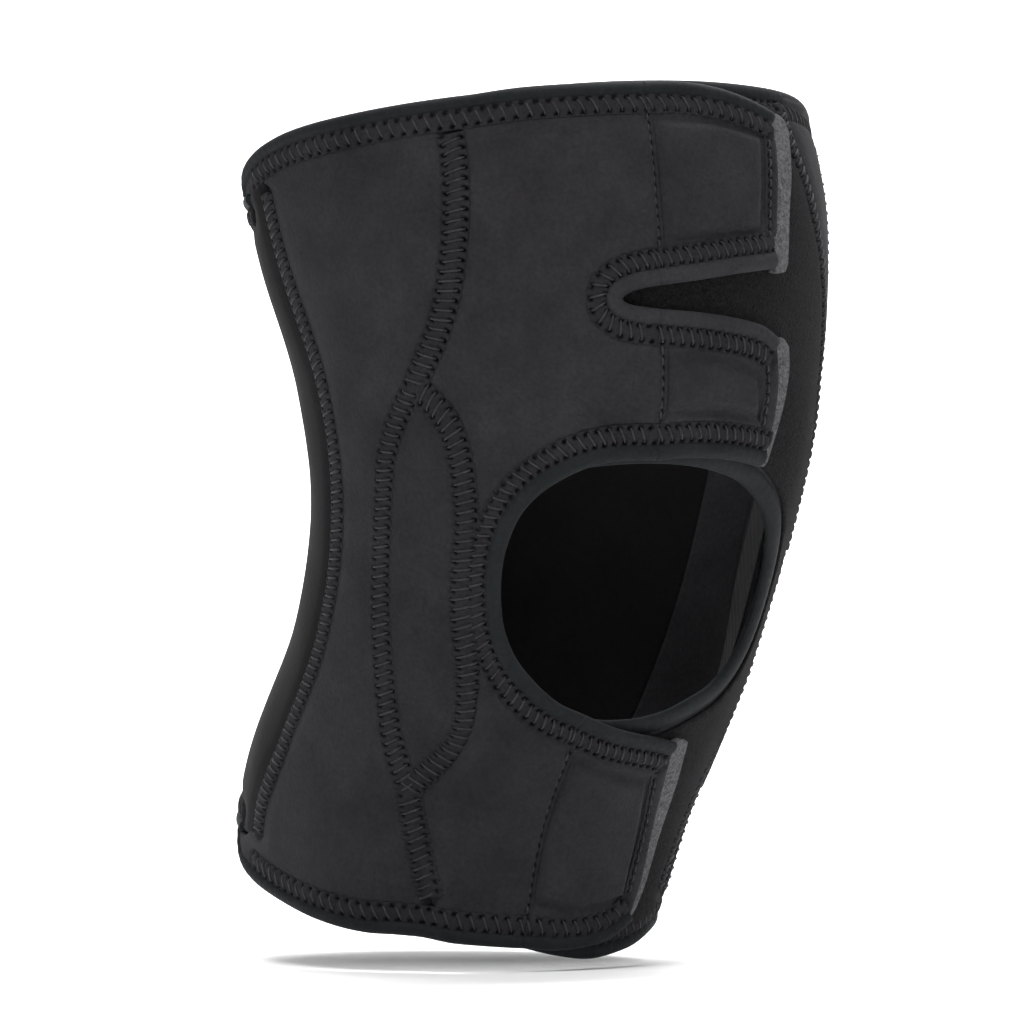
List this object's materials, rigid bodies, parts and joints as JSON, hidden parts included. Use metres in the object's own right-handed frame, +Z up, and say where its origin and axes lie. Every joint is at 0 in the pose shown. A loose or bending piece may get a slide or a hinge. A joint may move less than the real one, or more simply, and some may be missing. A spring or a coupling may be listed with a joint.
{
  "type": "knee brace",
  "caption": "Wrap knee brace as worn on a bent right knee: neoprene panels with side stays, an oval patella opening and hook tabs that peel off a loop field.",
  "frame": {"origin": "knee centre, on the leg form's axis beside the kneecap's upper half", "axes": "+Z up the leg towards the thigh, -Y to the front (the kneecap), -X to the outer side of a right knee"},
  "size_m": [0.1563, 0.1815, 0.2331],
  "materials": {
    "neoprene_jersey": "charcoal knit jersey bonded to neoprene foam",
    "stretch_knit": "smooth dark stretch knit",
    "loop_pile": "brushed loop pile",
    "edge_binding": "rolled stretch binding tape",
    "felt": "grey brushed felt",
    "hook_sheet": "moulded nylon hooks",
    "lining_tape": "woven nylon tape",
    "spring_steel": "flat spring steel",
    "cap_plastic": "dipped nylon cap"
  },
  "bodies": {
    "thigh_section": {"lateral_front_panel_knee": "neoprene_jersey", "lateral_front_panel_thigh": "neoprene_jersey", "lateral_gusset_knee": "neoprene_jersey", "lateral_gusset_upper": "neoprene_jersey", "lateral_rear_panel_knee": "neoprene_jersey", "lateral_rear_panel_thigh": "neoprene_jersey", "lateral_stay": "spring_steel", "lateral_stay_cap_upper": "cap_plastic", "lateral_stay_pocket": "lining_tape", "lateral_top_hem": "edge_binding", "loop_field_upper": "loop_pile", "medial_front_panel_knee": "neoprene_jersey", "medial_front_panel_thigh": "neoprene_jersey", "medial_gusset_knee": "neoprene_jersey", "medial_gusset_upper": "neoprene_jersey", "medial_rear_panel_knee": "neoprene_jersey", "medial_rear_panel_thigh": "neoprene_jersey", "medial_stay": "spring_steel", "medial_stay_cap_upper": "cap_plastic", "medial_stay_pocket": "lining_tape", "medial_top_hem": "edge_binding", "patella_binding_lateral": "edge_binding", "patella_binding_medial": "edge_binding", "rear_panel_knee": "stretch_knit", "rear_panel_thigh": "stretch_knit", "rear_top_hem": "edge_binding", "slot_binding": "edge_binding"},
    "calf_section": {"lateral_bottom_hem": "edge_binding", "lateral_front_panel_calf": "neoprene_jersey", "lateral_gusset_lower": "neoprene_jersey", "lateral_rear_panel_calf": "neoprene_jersey", "lateral_stay_cap_lower": "cap_plastic", "loop_field_lower": "loop_pile", "medial_bottom_hem": "edge_binding", "medial_front_panel_calf": "neoprene_jersey", "medial_gusset_lower": "neoprene_jersey", "medial_rear_panel_calf": "neoprene_jersey", "medial_stay_cap_lower": "cap_plastic", "rear_bottom_hem": "edge_binding", "rear_panel_calf": "stretch_knit"},
    "upper_tab": {"upper_tab": "neoprene_jersey", "upper_tab_hook_sheet": "hook_sheet", "upper_tab_pull_strip": "felt"},
    "middle_tab": {"middle_tab": "neoprene_jersey", "middle_tab_hook_sheet": "hook_sheet", "middle_tab_pull_strip": "felt"},
    "lower_tab": {"lower_tab": "neoprene_jersey", "lower_tab_hook_sheet": "hook_sheet", "lower_tab_pull_strip": "felt"}
  },
  "joints": [
    {"name": "knee_flex", "type": "hinge", "parent": "thigh_section", "child": "calf_section", "pos_m": [0, 0.0114, -0.016], "axis": [1, 0, 0], "range_deg": [-25, 45], "stiffness_Nm_per_rad": 0.6, "deforming": ["lateral_front_panel_knee", "lateral_gusset_knee", "lateral_rear_panel_knee", "lateral_stay", "lateral_stay_pocket", "medial_front_panel_knee", "medial_gusset_knee", "medial_rear_panel_knee", "medial_stay", "medial_stay_pocket", "patella_binding_lateral", "patella_binding_medial", "rear_panel_knee"]},
    {"name": "upper_tab_peel", "type": "hinge", "parent": "thigh_section", "child": "upper_tab", "pos_m": [-0.0222, -0.0664, 0.0869], "axis": [0.0239, -0.2092, -0.9776], "range_deg": [0, 90]},
    {"name": "middle_tab_peel", "type": "hinge", "parent": "thigh_section", "child": "middle_tab", "pos_m": [-0.0201, -0.0687, 0.0372], "axis": [0.0436, 0.1255, -0.9911], "range_deg": [0, 90]},
    {"name": "lower_tab_peel", "type": "hinge", "parent": "calf_section", "child": "lower_tab", "pos_m": [-0.0166, -0.0189, -0.0891], "axis": [0.0283, 0.3828, -0.9234], "range_deg": [0, 90]}
  ]
}
